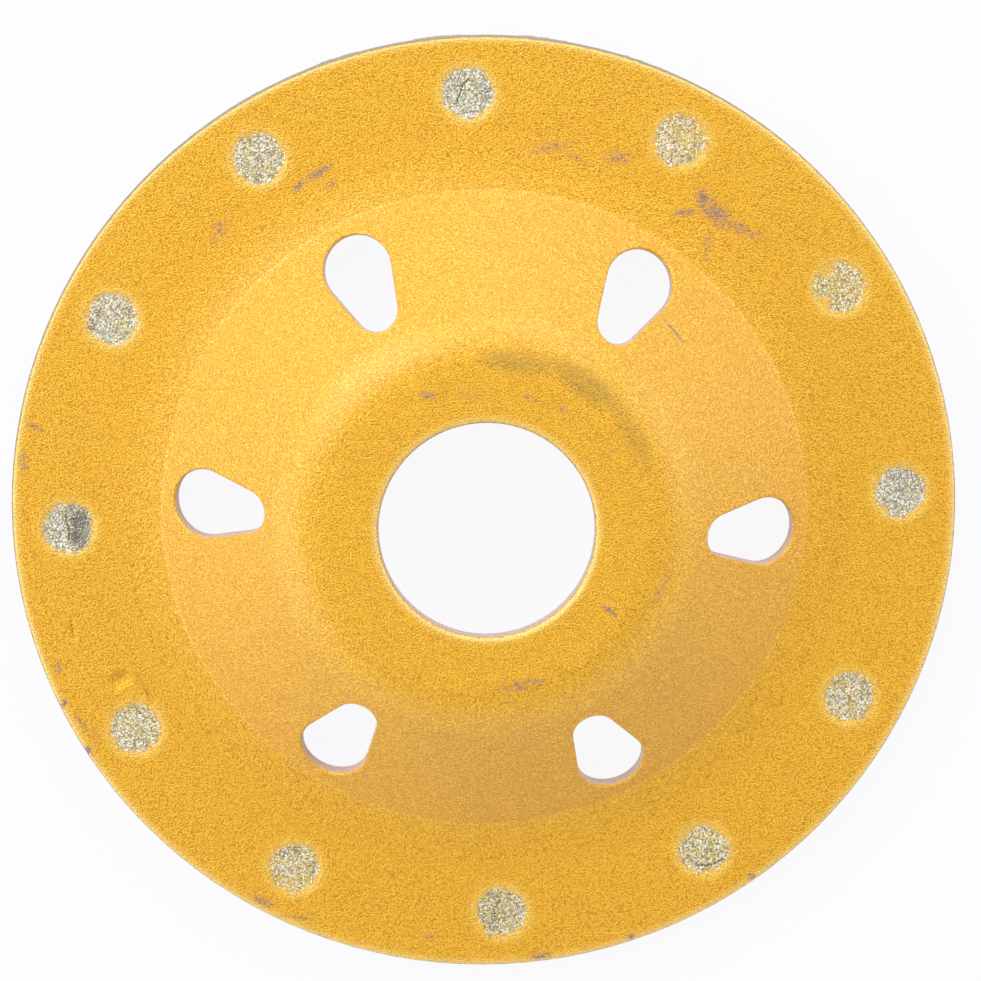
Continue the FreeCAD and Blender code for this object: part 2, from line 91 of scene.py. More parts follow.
class NodeBench:
    """Adds nodes to one tree, sets their inputs and links them."""

    def __init__(self, tree: NodeTree) -> None:
        """Keep the tree that the nodes go into."""
        self.tree = tree

    def feed(self, socket: NodeSocket, value: object) -> None:
        """Link an output to an input, or set the input to a plain value.

        Args:
            socket: The input.
            value: An output of another node, or a plain value.
        """
        if isinstance(value, NodeSocket):
            self.tree.links.new(value, socket)
        else:
            socket.default_value = value

    def node(self, kind: str, settings: dict | None = None, inputs: dict | None = None) -> Node:
        """Add one node.

        Args:
            kind: Blender's name for the kind of node.
            settings: Properties of the node.
            inputs: Values or outputs for its inputs, by name or place.

        Returns:
            The new node.
        """
        made = self.tree.nodes.new(kind)
        for key, value in (settings or {}).items():
            setattr(made, key, value)
        for key, value in (inputs or {}).items():
            self.feed(made.inputs[key], value)
        return made

    def math(self, operation: str, *values: object) -> NodeSocket:
        """Return the result of one sum on numbers."""
        inputs = dict(enumerate(values))
        return self.node("ShaderNodeMath", {"operation": operation}, inputs).outputs[0]

    def times(self, first: object, second: object) -> NodeSocket:
        """Return the product of two numbers."""
        return self.math("MULTIPLY", first, second)

    def minus(self, first: object, second: object) -> NodeSocket:
        """Return the first number less the second."""
        return self.math("SUBTRACT", first, second)

    def rest(self, share: NodeSocket) -> NodeSocket:
        """Return what a share leaves of 1."""
        return self.minus(1.0, share)

    def vector(self, operation: str, inputs: dict) -> Node:
        """Add one node that works on vectors."""
        return self.node("ShaderNodeVectorMath", {"operation": operation}, inputs)

    def part(self, vector: NodeSocket, axis: int) -> NodeSocket:
        """Return one of the three parts of a vector."""
        return self.node("ShaderNodeSeparateXYZ", None, {0: vector}).outputs[axis]

    def step(self, value: NodeSocket, low: float, high: float) -> NodeSocket:
        """Find where a value lies between two others.

        Args:
            value: The value.
            low: Where the rise begins.
            high: Where the rise ends.

        Returns:
            0 below low and 1 above high, with a smooth rise between them.
        """
        inputs = {"Value": value, "From Min": low, "From Max": high}
        settings = {"interpolation_type": "SMOOTHSTEP"}
        return self.node("ShaderNodeMapRange", settings, inputs).outputs["Result"]

    def spread(self, value: NodeSocket, low: float, high: float) -> NodeSocket:
        """Stretch a noise, which keeps near its middle.

        Args:
            value: The noise.
            low: What its usual lowest value becomes.
            high: What its usual highest value becomes.

        Returns:
            The stretched noise.
        """
        inputs = {"Value": value, "From Min": NOISE_RANGE[0], "From Max": NOISE_RANGE[1],
                  "To Min": low, "To Max": high}
        return self.node("ShaderNodeMapRange", None, inputs).outputs["Result"]

    def mix(self, factor: object, first: object, second: object) -> NodeSocket:
        """Return the first colour at factor 0 and the second at factor 1."""
        inputs = {0: factor, 6: first, 7: second}
        return self.node("ShaderNodeMix", {"data_type": "RGBA"}, inputs).outputs[2]

    def blend(self, factor: object, first: object, second: object) -> NodeSocket:
        """Return the first number at factor 0 and the second at factor 1."""
        return self.node("ShaderNodeMix", None, {0: factor, 2: first, 3: second}).outputs[0]

    def noise(self, place: NodeSocket, grain: float, detail: float = 2.0) -> NodeSocket:
        """Make a soft noise.

        Args:
            place: The place, in millimetres.
            grain: About how wide its blobs are, in millimetres.
            detail: How many finer layers lie over them.

        Returns:
            The noise.
        """
        inputs = {"Vector": place, "Scale": 1 / grain, "Detail": detail,
                  "Roughness": NOISE_ROUGHNESS}
        return self.node("ShaderNodeTexNoise", None, inputs).outputs["Fac"]

    def attribute(self, name: str) -> NodeSocket:
        """Return a number that the piece's own points carry."""
        return self.node("ShaderNodeAttribute", {"attribute_name": name}).outputs["Fac"]

    def place(self) -> NodeSocket:
        """Return the place on the piece, in millimetres."""
        here = self.node("ShaderNodeTexCoord").outputs["Object"]
        return self.vector("SCALE", {0: here, "Scale": 1 / MM}).outputs[0]

    def oval(self, place: NodeSocket, centre: Pair, size: Pair, turn: float,
             weakness: float = 0.0) -> NodeSocket:
        """Find how far out a place lies in an upright oval column.

        Args:
            place: The place, in millimetres.
            centre: Middle of the oval, across X and Y.
            size: Half its length and half its width.
            turn: Turn of its length from +X, in degrees.
            weakness: The least that is returned, at the middle.

        Returns:
            How far out it lies, which is 1 at the oval's edge.
        """
        inputs = {
            "Vector": place,
            "Location": (centre[0], centre[1], -weakness / MM),
            "Rotation": (0.0, 0.0, math.radians(turn)),
            "Scale": (size[0], size[1], 1 / MM),
        }
        local = self.node("ShaderNodeMapping", {"vector_type": "TEXTURE"}, inputs).outputs[0]
        return self.vector("LENGTH", {0: local}).outputs["Value"]


class Polar(NamedTuple):
    """A place by its distance from the wheel's axis and its angle round it."""

    radius: NodeSocket
    angle: NodeSocket


def reach(bench: NodeBench, across: NodeSocket, along: NodeSocket) -> NodeSocket:
    """Return the length of two sides set square to each other."""
    square = bench.math("ADD", bench.times(across, across), bench.times(along, along))
    return bench.math("SQRT", square)


def polar_place(bench: NodeBench, place: NodeSocket) -> Polar:
    """Turn a place into a distance and an angle.

    Args:
        bench: The bench of the material.
        place: The place, in millimetres.

    Returns:
        The distance from the wheel's axis and the angle from +X, in radians.
    """
    across, up = bench.part(place, 0), bench.part(place, 1)
    return Polar(reach(bench, across, up), bench.math("ARCTAN2", up, across))


def folded_place(bench: NodeBench, polar: Polar, count: int,
                 phase: float) -> tuple[NodeSocket, NodeSocket]:
    """Fold the wheel into one of its equal sectors.

    Args:
        bench: The bench of the material.
        polar: The place round the axis.
        count: How many sectors go round.
        phase: Angle of the middle of the first sector, in degrees.

    Returns:
        Distance along the sector's middle line, and across it.
    """
    half = math.pi / count
    turned = bench.minus(polar.angle, math.radians(phase))
    angle = bench.math("WRAP", turned, half, -half)
    along = bench.times(polar.radius, bench.math("COSINE", angle))
    across = bench.times(polar.radius, bench.math("SINE", angle))
    return along, across


@dataclass(frozen=True)
class WheelSizes:
    """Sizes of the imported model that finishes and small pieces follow."""

    rim_radius: float = 49.85
    bore_radius: float = 11.115
    flange_back: float = 5.4
    vent_count: int = 6
    vent_phase: float = 54.6
    vent_narrow_centre: float = 25.15
    vent_narrow_radius: float = 2.25
    vent_wide_centre: float = 28.95
    vent_wide_radius: float = 3.55
    anchor_count: int = 12
    anchor_reach: float = 43.95
    lip_depth: float = 0.2
    plug_top: float = 5.2
    block_height: float = 2.4


SIZES = WheelSizes()


class Layers(NamedTuple):
    """What a finish gives to its shader. The height is in millimetres."""

    colour: NodeSocket
    metal: NodeSocket
    rough: NodeSocket
    height: NodeSocket
    coat: object = 0.0


class Mark(Enum):
    """Kinds of marks in the paint."""

    SPECKLE = "broken spots down to the primer"
    SCRATCH = "one thin line"
    STAIN = "a faint darker film"
    DENT = "a shallow dent"


@dataclass(frozen=True)
class Scar:
    """One mark in the paint: an oval's middle, half sizes and turn, and its strength."""

    centre: Pair
    size: Pair
    turn: float = 0.0
    strength: float = 1.0


SCARS = {
    Mark.SPECKLE: (
        Scar((24.1, 31.9), (1.5, 0.9), 100, 1.2),
        Scar((25.4, 30.3), (2.6, 1.4), 140, 0.9),
        Scar((22.1, 30.6), (1.4, 0.6), 0, 1.0),
        Scar((27.6, 28.8), (4.2, 0.9), 155, 0.65),
        Scar((24.4, 27.2), (2.2, 0.5), 78, 0.6),
        Scar((8.6, 38.0), (3.6, 0.9), 5, 0.55),
        Scar((11.0, 36.8), (1.6, 0.5), 150, 0.55),
        Scar((15.4, 36.6), (2.2, 1.1), 0, 0.6),
        Scar((-15.8, 36.3), (1.9, 0.55), 28, 1.2),
        Scar((-17.9, 35.1), (1.3, 0.5), 38, 0.95),
        Scar((-14.6, 35.1), (1.2, 0.7), 20, 0.55),
        Scar((2.9, -16.3), (3.4, 0.8), 8, 0.75),
        Scar((-5.3, 14.3), (1.3, 0.6), 170, 0.8),
        Scar((-1.2, 14.0), (1.6, 0.9), 160, 0.45),
        Scar((12.3, -8.9), (1.2, 0.5), 140, 0.8),
        Scar((17.6, -7.0), (3.2, 0.8), 60, 0.45),
        Scar((-26.5, 30.8), (2.0, 1.0), 60, 0.55),
        Scar((-7.8, -46.3), (1.0, 0.5), 0, 0.6),
        Scar((-46.8, 10.9), (1.3, 0.5), 150, 0.75),
        Scar((-48.2, 7.2), (0.8, 1.6), 0, 0.6),
        Scar((-45.6, -19.0), (0.9, 0.6), 60, 0.9),
        Scar((-43.2, -24.1), (1.1, 0.5), 120, 0.9),
        Scar((-25.6, -41.5), (1.7, 0.6), 150, 0.9),
        Scar((4.0, -49.0), (1.6, 0.5), 5, 0.9),
        Scar((13.8, -47.3), (0.9, 0.5), 15, 0.8),
        Scar((27.0, -41.2), (0.9, 0.5), 33, 0.8),
        Scar((4.9, 13.6), (1.6, 0.7), 150, 0.42),
        Scar((8.2, 12.2), (2.4, 0.7), 150, 0.36),
        Scar((12.6, 8.6), (2.0, 0.6), 130, 0.42),
        Scar((-45.9, -15.0), (0.5, 0.9), 0, 0.75),
        Scar((-43.8, -20.9), (1.5, 0.4), 120, 0.75),
        Scar((-42.2, -22.6), (0.8, 1.3), 0, 0.5),
    ),
    Mark.SCRATCH: (
        Scar((20.3, 18.9), (2.3, 0.24), 128, 1.25),
        Scar((-21.9, -43.5), (3.0, 0.2), 172, 0.8),
    ),
    Mark.STAIN: (
        Scar((3.8, 17.3), (4.6, 1.4), 170, 0.75),
        Scar((10.6, 14.8), (4.8, 1.6), 142, 0.85),
        Scar((15.4, 9.2), (4.6, 1.3), 118, 0.5),
    ),
    Mark.DENT: (
        Scar((-39.4, -16.6), (1.5, 1.1), 20, 1.7),
        Scar((-38.7, 19.9), (1.6, 0.7), 150, 1.6),
        Scar((-36.4, -18.2), (2.2, 0.35), 115, 0.9),
        Scar((-44.0, -10.8), (1.8, 0.35), 95, 0.9),
    ),
}


@dataclass(frozen=True)
class GoldPaint:
    """Gold stoving paint on the pressed dish, scarred, with wear and painted highlights at its edges.

    A grain is the width of a noise's blobs, and a share runs from 0 to 1. A pair
    is where a change begins and ends, or a lowest and a highest value.
    """

    name: str = "gold_paint"
    body: Colour = shade(224, 164, 4)
    dark: Colour = shade(174, 120, 2)
    light: Colour = shade(248, 208, 92)
    # edge is paler paint on the rolled edges: partly worn, thin paint and partly a painted highlight
    edge: Colour = shade(244, 212, 126)
    rim_line: Colour = shade(164, 144, 102)
    # pale is a painted highlight on the lips round the anchor holes and on the paint over the plugs
    pale: Colour = shade(252, 220, 112)
    primer: Colour = shade(192, 138, 100)
    steel: Colour = shade(136, 120, 116)
    wall: Colour = shade(246, 226, 218)
    wall_dark: Colour = shade(214, 190, 182)
    dark_film: Colour = shade(152, 126, 56)
    worm_grain: float = 0.17
    flake_grain: float = 0.34
    ragged_grain: float = 0.34
    ragged_detail: float = 3.0
    worm_tone: float = 0.7
    flake_tone: float = 0.35
    dark_share: float = 0.6
    light_share: float = 0.5
    worm_height: float = 0.028
    metal: float = 0.4
    metal_range: float = 0.15
    rough: float = 0.46
    rough_range: float = 0.06
    bare_rough: float = 0.12
    coat: float = 0.58
    dark_film_fade: Pair = (0.35, 1.2)
    dark_film_breakup: Pair = (0.3, 0.68)
    dent_fade: Pair = (0.0, 1.1)
    dent_depth: float = 0.3
    # glow is the share of that painted highlight
    glow: float = 0.24
    lip_highlight_fade: Pair = (2.9, 4.0)
    edge_fade: Pair = (-0.05, 1.15)
    edge_ragged: float = 0.1
    edge_sheen_share: float = 0.7
    vent_narrowing: float = 4.0
    vent_margin: float = 0.25
    bare_edge: Pair = (0.9, 1.0)
    bare_share: float = 0.6
    rub_side: float = 115.0
    rub_width: float = 0.07
    rub_extra: float = 0.16
    rub_ragged: float = 0.06
    rub_fade: Pair = (-0.04, 0.1)
    rub_share: float = 0.85
    two_tone: Pair = (0.0, 0.8)
    top_facing: Pair = (0.1, 0.4)
    wall_facing: Pair = (0.25, 0.6)
    wall_reach: Pair = (33.0, 33.6)
    wall_bare: Pair = (0.75, 1.0)
    scar_far: float = 2.0
    scar_reach: float = 1.2
    scar_ragged: Pair = (-1.0, 0.55)
    scar_depth: Pair = (-0.1, 0.85)
    scar_edge: Pair = (0.02, 0.2)
    scar_share: float = 0.9
    scar_steel: Pair = (0.62, 1.0)

    def lay(self, bench: NodeBench) -> Layers:
        """Lay the paint with all its wear.

        Args:
            bench: The bench of the material.

        Returns:
            Colour, metal, roughness, height and coat of the painted surface.
        """
        place = bench.place()
        polar = polar_place(bench, place)
        ragged = bench.noise(place, self.ragged_grain, self.ragged_detail)
        flake = bench.noise(place, self.flake_grain, 1.0)
        facing = bench.part(bench.node("ShaderNodeTexCoord").outputs["Normal"], 2)
        top = bench.step(facing, *self.top_facing)
        colour, metal, rough, height, coat = self.film(bench, place, flake)
        colour, height = self.dark_film_and_dents(bench, place, bench.times(ragged, top), colour, height)
        # Painted highlight on the lips round the anchor holes
        colour = bench.mix(self.lip_painted_highlight(bench, polar), colour, self.pale)
        worn = self.edge_wear_and_sheen(bench, ragged, polar)
        # Rolled edges: worn paint with a painted highlight, and bare steel at their very edge
        colour = bench.mix(bench.times(worn, self.edge_sheen_share), colour, self.edge)
        bare = bench.times(bench.step(worn, *self.bare_edge), self.bare_share)
        colour = bench.mix(bare, colour, self.steel)
        rubbed = bench.mix(bench.spread(ragged, *self.two_tone), self.rim_line, self.steel)
        colour = bench.mix(self.rim_rub(bench, ragged, polar), colour, rubbed)

        wall = self.punched_walls(bench, ragged, polar, facing)
        punched = bench.mix(bench.spread(flake, *self.two_tone), self.wall, self.wall_dark)
        colour = bench.mix(wall, colour, punched)
        scar = bench.times(self.scars(bench, place, ragged), top)
        under = bench.mix(bench.step(scar, *self.scar_steel), self.primer, self.steel)
        broken = bench.times(bench.step(scar, 0.0, 1.0), self.scar_share)
        colour = bench.mix(broken, colour, under)
        matt = bench.times(bench.math("MAXIMUM", scar, wall), self.bare_rough)
        rough = bench.math("ADD", rough, matt)
        painted = bench.rest(wall)
        metal, coat = bench.times(metal, painted), bench.times(coat, painted)
        return Layers(colour, metal, rough, height, coat)

    def film(self, bench: NodeBench, place: NodeSocket, flake: NodeSocket) -> Layers:
        """Lay the unworn paint: metal flake and a fine orange peel.

        Args:
            bench: The bench of the material.
            place: The place, in millimetres.
            flake: Noise of the metal flake.

        Returns:
            Colour, metal, roughness, height and coat of whole paint.
        """
        worm = bench.noise(place, self.worm_grain, 0.0)
        tone = bench.math("ADD", bench.spread(flake, -self.flake_tone, self.flake_tone),
                          bench.spread(worm, -self.worm_tone, self.worm_tone))
        colour = bench.mix(bench.times(tone, -self.dark_share), self.body, self.dark)
        colour = bench.mix(bench.times(tone, self.light_share), colour, self.light)
        metal = bench.math("ADD", bench.spread(flake, -self.metal_range, self.metal_range),
                           self.metal)
        rough = bench.spread(flake, self.rough - self.rough_range, self.rough + self.rough_range)
        height = bench.times(bench.spread(worm, -1.0, 1.0), self.worm_height)
        return Layers(colour, metal, rough, height, self.coat)

    def dark_film_and_dents(self, bench: NodeBench, place: NodeSocket, ragged: NodeSocket, colour: NodeSocket,
                   height: NodeSocket) -> tuple[NodeSocket, NodeSocket]:
        """Add the darker patches to the colour and the dents to the height.

        Args:
            bench: The bench of the material.
            place: The place, in millimetres.
            ragged: Noise that breaks up the darker patches.
            colour: Colour of the whole paint.
            height: Height of the whole paint.

        Returns:
            The colour and the height with them.
        """
        # Darker patches along the hub's round, by colour only
        for scar in SCARS[Mark.STAIN]:
            edge = bench.oval(place, scar.centre, scar.size, scar.turn)
            film = bench.rest(bench.step(edge, *self.dark_film_fade))
            patchy = bench.times(film, bench.step(ragged, *self.dark_film_breakup))
            colour = bench.mix(bench.times(patchy, scar.strength), colour, self.dark_film)
        for scar in SCARS[Mark.DENT]:
            edge = bench.oval(place, scar.centre, scar.size, scar.turn)
            pit = bench.rest(bench.step(edge, *self.dent_fade))
            height = bench.minus(height, bench.times(pit, self.dent_depth * scar.strength))
        return colour, height

    def rim_rub(self, bench: NodeBench, ragged: NodeSocket, polar: Polar) -> NodeSocket:
        """Find how bare the rim's edge is, which is rubbed widest on one side.

        Args:
            bench: The bench of the material.
            ragged: Noise that makes the rubbed line ragged.
            polar: The place round the axis.

        Returns:
            The share of bare metal.
        """
        side = bench.math("COSINE", bench.minus(polar.angle, math.radians(self.rub_side)))
        facing = bench.math("MAXIMUM", side, 0.0)
        width = bench.math("MULTIPLY_ADD", facing, self.rub_extra, self.rub_width)
        from_rim = bench.minus(SIZES.rim_radius, polar.radius)
        kept = bench.math("ADD", bench.minus(from_rim, width),
                          bench.spread(ragged, -self.rub_ragged, self.rub_ragged))
        return bench.times(bench.rest(bench.step(kept, *self.rub_fade)), self.rub_share)

    def lip_painted_highlight(self, bench: NodeBench, polar: Polar) -> NodeSocket:
        """Find the share of painted highlight on the lip round an anchor hole.

        Args:
            bench: The bench of the material.
            polar: The place round the axis.

        Returns:
            The share of the pale colour.
        """
        along, across = folded_place(bench, polar, SIZES.anchor_count, 0.0)
        out = reach(bench, across, bench.minus(along, SIZES.anchor_reach))
        return bench.times(bench.rest(bench.step(out, *self.lip_highlight_fade)), self.glow)

    def edge_wear_and_sheen(self, bench: NodeBench, ragged: NodeSocket, polar: Polar) -> NodeSocket:
        """Find the wear and the painted highlight on the rolled edges of rim, bore and vents.

        Args:
            bench: The bench of the material.
            ragged: Noise that makes the wear ragged.
            polar: The place round the axis.

        Returns:
            1 on those edges, and 0 away from them.
        """
        from_rim = bench.minus(SIZES.rim_radius, polar.radius)
        from_bore = bench.minus(polar.radius, SIZES.bore_radius)
        from_edge = bench.math("MINIMUM", from_rim, from_bore)
        from_vent = bench.math("MULTIPLY_ADD", self.from_vent(bench, polar), self.vent_narrowing,
                               self.vent_margin)
        from_edge = bench.math("MINIMUM", from_edge, from_vent)
        ragged_edge = bench.math("ADD", from_edge,
                                 bench.spread(ragged, -self.edge_ragged, self.edge_ragged))
        return bench.rest(bench.step(ragged_edge, *self.edge_fade))

    @staticmethod
    def from_vent(bench: NodeBench, polar: Polar) -> NodeSocket:
        """Find how far the nearest vent's outline is, in plan.

        Args:
            bench: The bench of the material.
            polar: The place round the axis.

        Returns:
            The distance in millimetres, which is below 0 inside the vent.
        """
        along, across = folded_place(bench, polar, SIZES.vent_count, SIZES.vent_phase)
        length = SIZES.vent_wide_centre - SIZES.vent_narrow_centre
        share = bench.math("DIVIDE", bench.minus(along, SIZES.vent_narrow_centre), length)
        share = bench.math("MINIMUM", bench.math("MAXIMUM", share, 0.0), 1.0)
        middle = bench.blend(share, SIZES.vent_narrow_centre, SIZES.vent_wide_centre)
        radius = bench.blend(share, SIZES.vent_narrow_radius, SIZES.vent_wide_radius)
        return bench.minus(reach(bench, across, bench.minus(along, middle)), radius)

    def punched_walls(self, bench: NodeBench, ragged: NodeSocket, polar: Polar,
                      facing: NodeSocket) -> NodeSocket:
        """Find the upright walls that the punch left bare in vents and bore.

        Args:
            bench: The bench of the material.
            ragged: Noise that leaves traces of paint.
            polar: The place round the axis.
            facing: How far the surface faces the back, -1 to 1.

        Returns:
            The share of bare wall, which is 0 elsewhere.
        """
        upright = bench.rest(bench.step(bench.math("ABSOLUTE", facing), *self.wall_facing))
        inside = bench.rest(bench.step(polar.radius, *self.wall_reach))
        return bench.times(bench.times(upright, inside), bench.spread(ragged, *self.wall_bare))

    def scars(self, bench: NodeBench, place: NodeSocket, ragged: NodeSocket) -> NodeSocket:
        """Find how deep the paint is broken, over all speckles and scratches.

        Args:
            bench: The bench of the material.
            place: The place, in millimetres.
            ragged: Noise that breaks each mark into spots.

        Returns:
            0 on whole paint, up to 1.
        """
        nearest: object = self.scar_far
        for scar in SCARS[Mark.SPECKLE] + SCARS[Mark.SCRATCH]:
            weakness = self.scar_reach - scar.strength
            edge = bench.oval(place, scar.centre, scar.size, scar.turn, weakness)
            nearest = bench.math("MINIMUM", nearest, edge)
        inside = bench.minus(self.scar_reach, nearest)
        broken = bench.math("ADD", inside, bench.spread(ragged, *self.scar_ragged))
        return bench.times(bench.step(broken, *self.scar_depth),
                           bench.step(inside, *self.scar_edge))


@dataclass(frozen=True)
class SinteredGrain:
    """Sintered metal powder with pits between its grains, painted glints on some grains and painted
    shade in the gaps and pits.
    """

    base: Colour
    dark: Colour
    glint: Colour
    tint: Colour
    grain: float = 0.2
    fine_share: float = 0.7
    broad_grain: float = 1.5
    hue_range: Pair = (-0.1, 0.5)
    lit_grains: Pair = (0.3, 0.85)
    lit_share: float = 0.9
    gap_reach: Pair = (0.45, 0.8)
    gap_share: float = 0.75
    shade_share: float = 0.13
    pit_level: Pair = (0.57, 0.72)
    height: float = 0.05
    metal: float = 0.4
    rough: Pair = (0.38, 0.64)

    def lay(self, bench: NodeBench, shade_and_pits: object = 0.0, tint: object = 0.0) -> Layers:
        """Lay the powder grain.

        Args:
            bench: The bench of the material.
            shade_and_pits: How much more of the grain lies dark, as painted shade, 0 to 1.
            tint: How much more of the tint it has, 0 to 1.

        Returns:
            Colour, metal, roughness and height of the grainy surface.
        """
        place = bench.place()
        cells = bench.node("ShaderNodeTexVoronoi", {"feature": "F1"},
                           {"Vector": place, "Scale": 1 / self.grain, "Randomness": 1.0})
        cell = bench.node("ShaderNodeSeparateColor", None, {0: cells.outputs["Color"]}).outputs
        fine = bench.noise(place, self.grain * self.fine_share, 1.0)
        broad = bench.noise(place, self.broad_grain, 1.0)
        hue = bench.math("ADD", bench.spread(broad, *self.hue_range), tint)
        colour = bench.mix(hue, self.base, self.tint)
        # Painted glints: some grains take the glint colour
        lit = bench.times(bench.step(cell[0], *self.lit_grains), self.lit_share)
        colour = bench.mix(lit, colour, self.glint)
        # Painted shade: the gaps between grains and the pits are dark, and they are low too
        gap = bench.times(bench.step(cells.outputs["Distance"], *self.gap_reach), self.gap_share)
        # Painted shade: more of the grain is dark where the piece asks for it
        worn = bench.math("ADD", fine, bench.times(shade_and_pits, self.shade_share))
        pit = bench.math("MAXIMUM", bench.step(worn, *self.pit_level), gap)
        colour = bench.mix(pit, colour, self.dark)
        metal = bench.times(lit, self.metal)
        height = bench.times(bench.rest(pit), self.height)
        return Layers(colour, metal, bench.spread(fine, *self.rough), height)


@dataclass(frozen=True)
class PlugEnd:
    """A plug's grainy end with the paint that has run over it."""

    name: str
    grain: SinteredGrain
    paint: GoldPaint
    ragged_grain: float = 0.3
    ragged_detail: float = 3.0
    ragged: float = 0.8
    film_edge: Pair = (0.4, 1.15)

    def lay(self, bench: NodeBench) -> Layers:
        """Lay bare grain where the piece's cover is low, and paint where it is high.

        Args:
            bench: The bench of the material.

        Returns:
            Colour, metal, roughness, height and coat of the plug's end.
        """
        place = bench.place()
        paint = self.paint
        bare = self.grain.lay(bench, bench.attribute("shade_and_pits"), bench.attribute("tint"))
        film = paint.film(bench, place, bench.noise(place, paint.flake_grain, 1.0))
        ragged = bench.noise(place, self.ragged_grain, self.ragged_detail)
        cover = bench.math("ADD", bench.attribute("cover"),
                           bench.spread(ragged, -self.ragged, self.ragged))
        painted = bench.step(cover, *self.film_edge)
        # Painted highlight: the paint on the plug's end is paled as the lip round it is
        pale = bench.mix(paint.glow, film.colour, paint.pale)
        return Layers(
            bench.mix(painted, bare.colour, pale),
            bench.blend(painted, bare.metal, film.metal),
            bench.blend(painted, bare.rough, film.rough),
            bench.blend(painted, bare.height, film.height),
            bench.times(painted, paint.coat),
        )


@dataclass(frozen=True)
class Crystal:
    """Yellow-green synthetic diamond, cloudy at its faces."""

    name: str = "diamond_crystal"
    clear: Colour = shade(176, 172, 96)
    cloudy: Colour = shade(214, 212, 176)
    cloud_grain: float = 0.2
    shine_grain: float = 3.0
    metal: Pair = (0.0, 0.08)
    rough: Pair = (0.12, 0.3)
    height: Pair = (0.0, 0.01)

    def lay(self, bench: NodeBench) -> Layers:
        """Lay the crystal's own cloudiness.

        Args:
            bench: The bench of the material.

        Returns:
            Colour, metal, roughness and height of the crystal.
        """
        place = bench.place()
        cloud = bench.noise(place, self.cloud_grain)
        colour = bench.mix(bench.spread(cloud, 0.0, 1.0), self.clear, self.cloudy)
        metal = bench.spread(bench.noise(place, self.shine_grain, 0.0), *self.metal)
        return Layers(colour, metal, bench.spread(cloud, *self.rough),
                      bench.spread(cloud, *self.height))


def dress(obj: Object, name: str, layers_of: Callable[[NodeBench], Layers]) -> None:
    """Give a piece a material laid by a finish.

    Args:
        obj: The piece. Its material slots are filled with the one material.
        name: Name of the material.
        layers_of: The finish's own lay method.
    """
    material = bpy.data.materials.new(name)
    material.use_nodes = True
    bench = NodeBench(material.node_tree)
    shader = material.node_tree.nodes["Principled BSDF"]
    layers = layers_of(bench)
    bench.feed(shader.inputs["Base Color"], layers.colour)
    bench.feed(shader.inputs["Metallic"], layers.metal)
    bench.feed(shader.inputs["Roughness"], layers.rough)
    bench.feed(shader.inputs["Coat Weight"], layers.coat)
    shader.inputs["Coat Roughness"].default_value = COAT_ROUGHNESS
    bump = bench.node("ShaderNodeBump", None, {"Height": layers.height, "Distance": MM})
    bench.feed(shader.inputs["Normal"], bump.outputs["Normal"])
    if not obj.material_slots:
        obj.data.materials.append(material)
    for slot in obj.material_slots:
        slot.material = material


def only(obj: Object) -> None:
    """Select one piece alone and make it the active one.

    Args:
        obj: The piece.
    """
    bpy.ops.object.select_all(action="DESELECT")
    obj.select_set(True)
    bpy.context.view_layer.objects.active = obj


def rest_at_origin(obj: Object) -> None:
    """Move a piece's place into its mesh."""
    only(obj)
    bpy.ops.object.transform_apply(location=True, rotation=True, scale=True)


def roughen(obj: Object, lump: float, depth: float, direction: str = "NORMAL",
            group: str = "") -> None:
    """Displace a piece by a cloud of noise and apply it.

    Args:
        obj: The piece.
        lump: Width of the lumps, in millimetres.
        depth: How far the surface moves in all, in millimetres.
        direction: Along the surface's normal, or an axis.
        group: Name of the vertex group that weighs the depth, if any.
    """
    texture = bpy.data.textures.new("lumps", "CLOUDS")
    texture.noise_scale = lump * MM
    texture.noise_depth = 1
    only(obj)
    modifier = obj.modifiers.new("lumps", "DISPLACE")
    modifier.texture = texture
    modifier.texture_coords = "LOCAL"
    modifier.direction = direction
    modifier.vertex_group = group
    modifier.strength = depth * MM
    modifier.mid_level = 0.5
    bpy.ops.object.modifier_apply(modifier=modifier.name)
    bpy.data.textures.remove(texture)


@dataclass
class PaintedDish:
    """The pressed steel dish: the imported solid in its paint."""

    paint: GoldPaint

    def dress(self) -> Object:
        """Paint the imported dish.

        Returns:
            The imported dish.
        """
        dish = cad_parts["steel_body"]
        dress(dish, self.paint.name, self.paint.lay)
        return dish


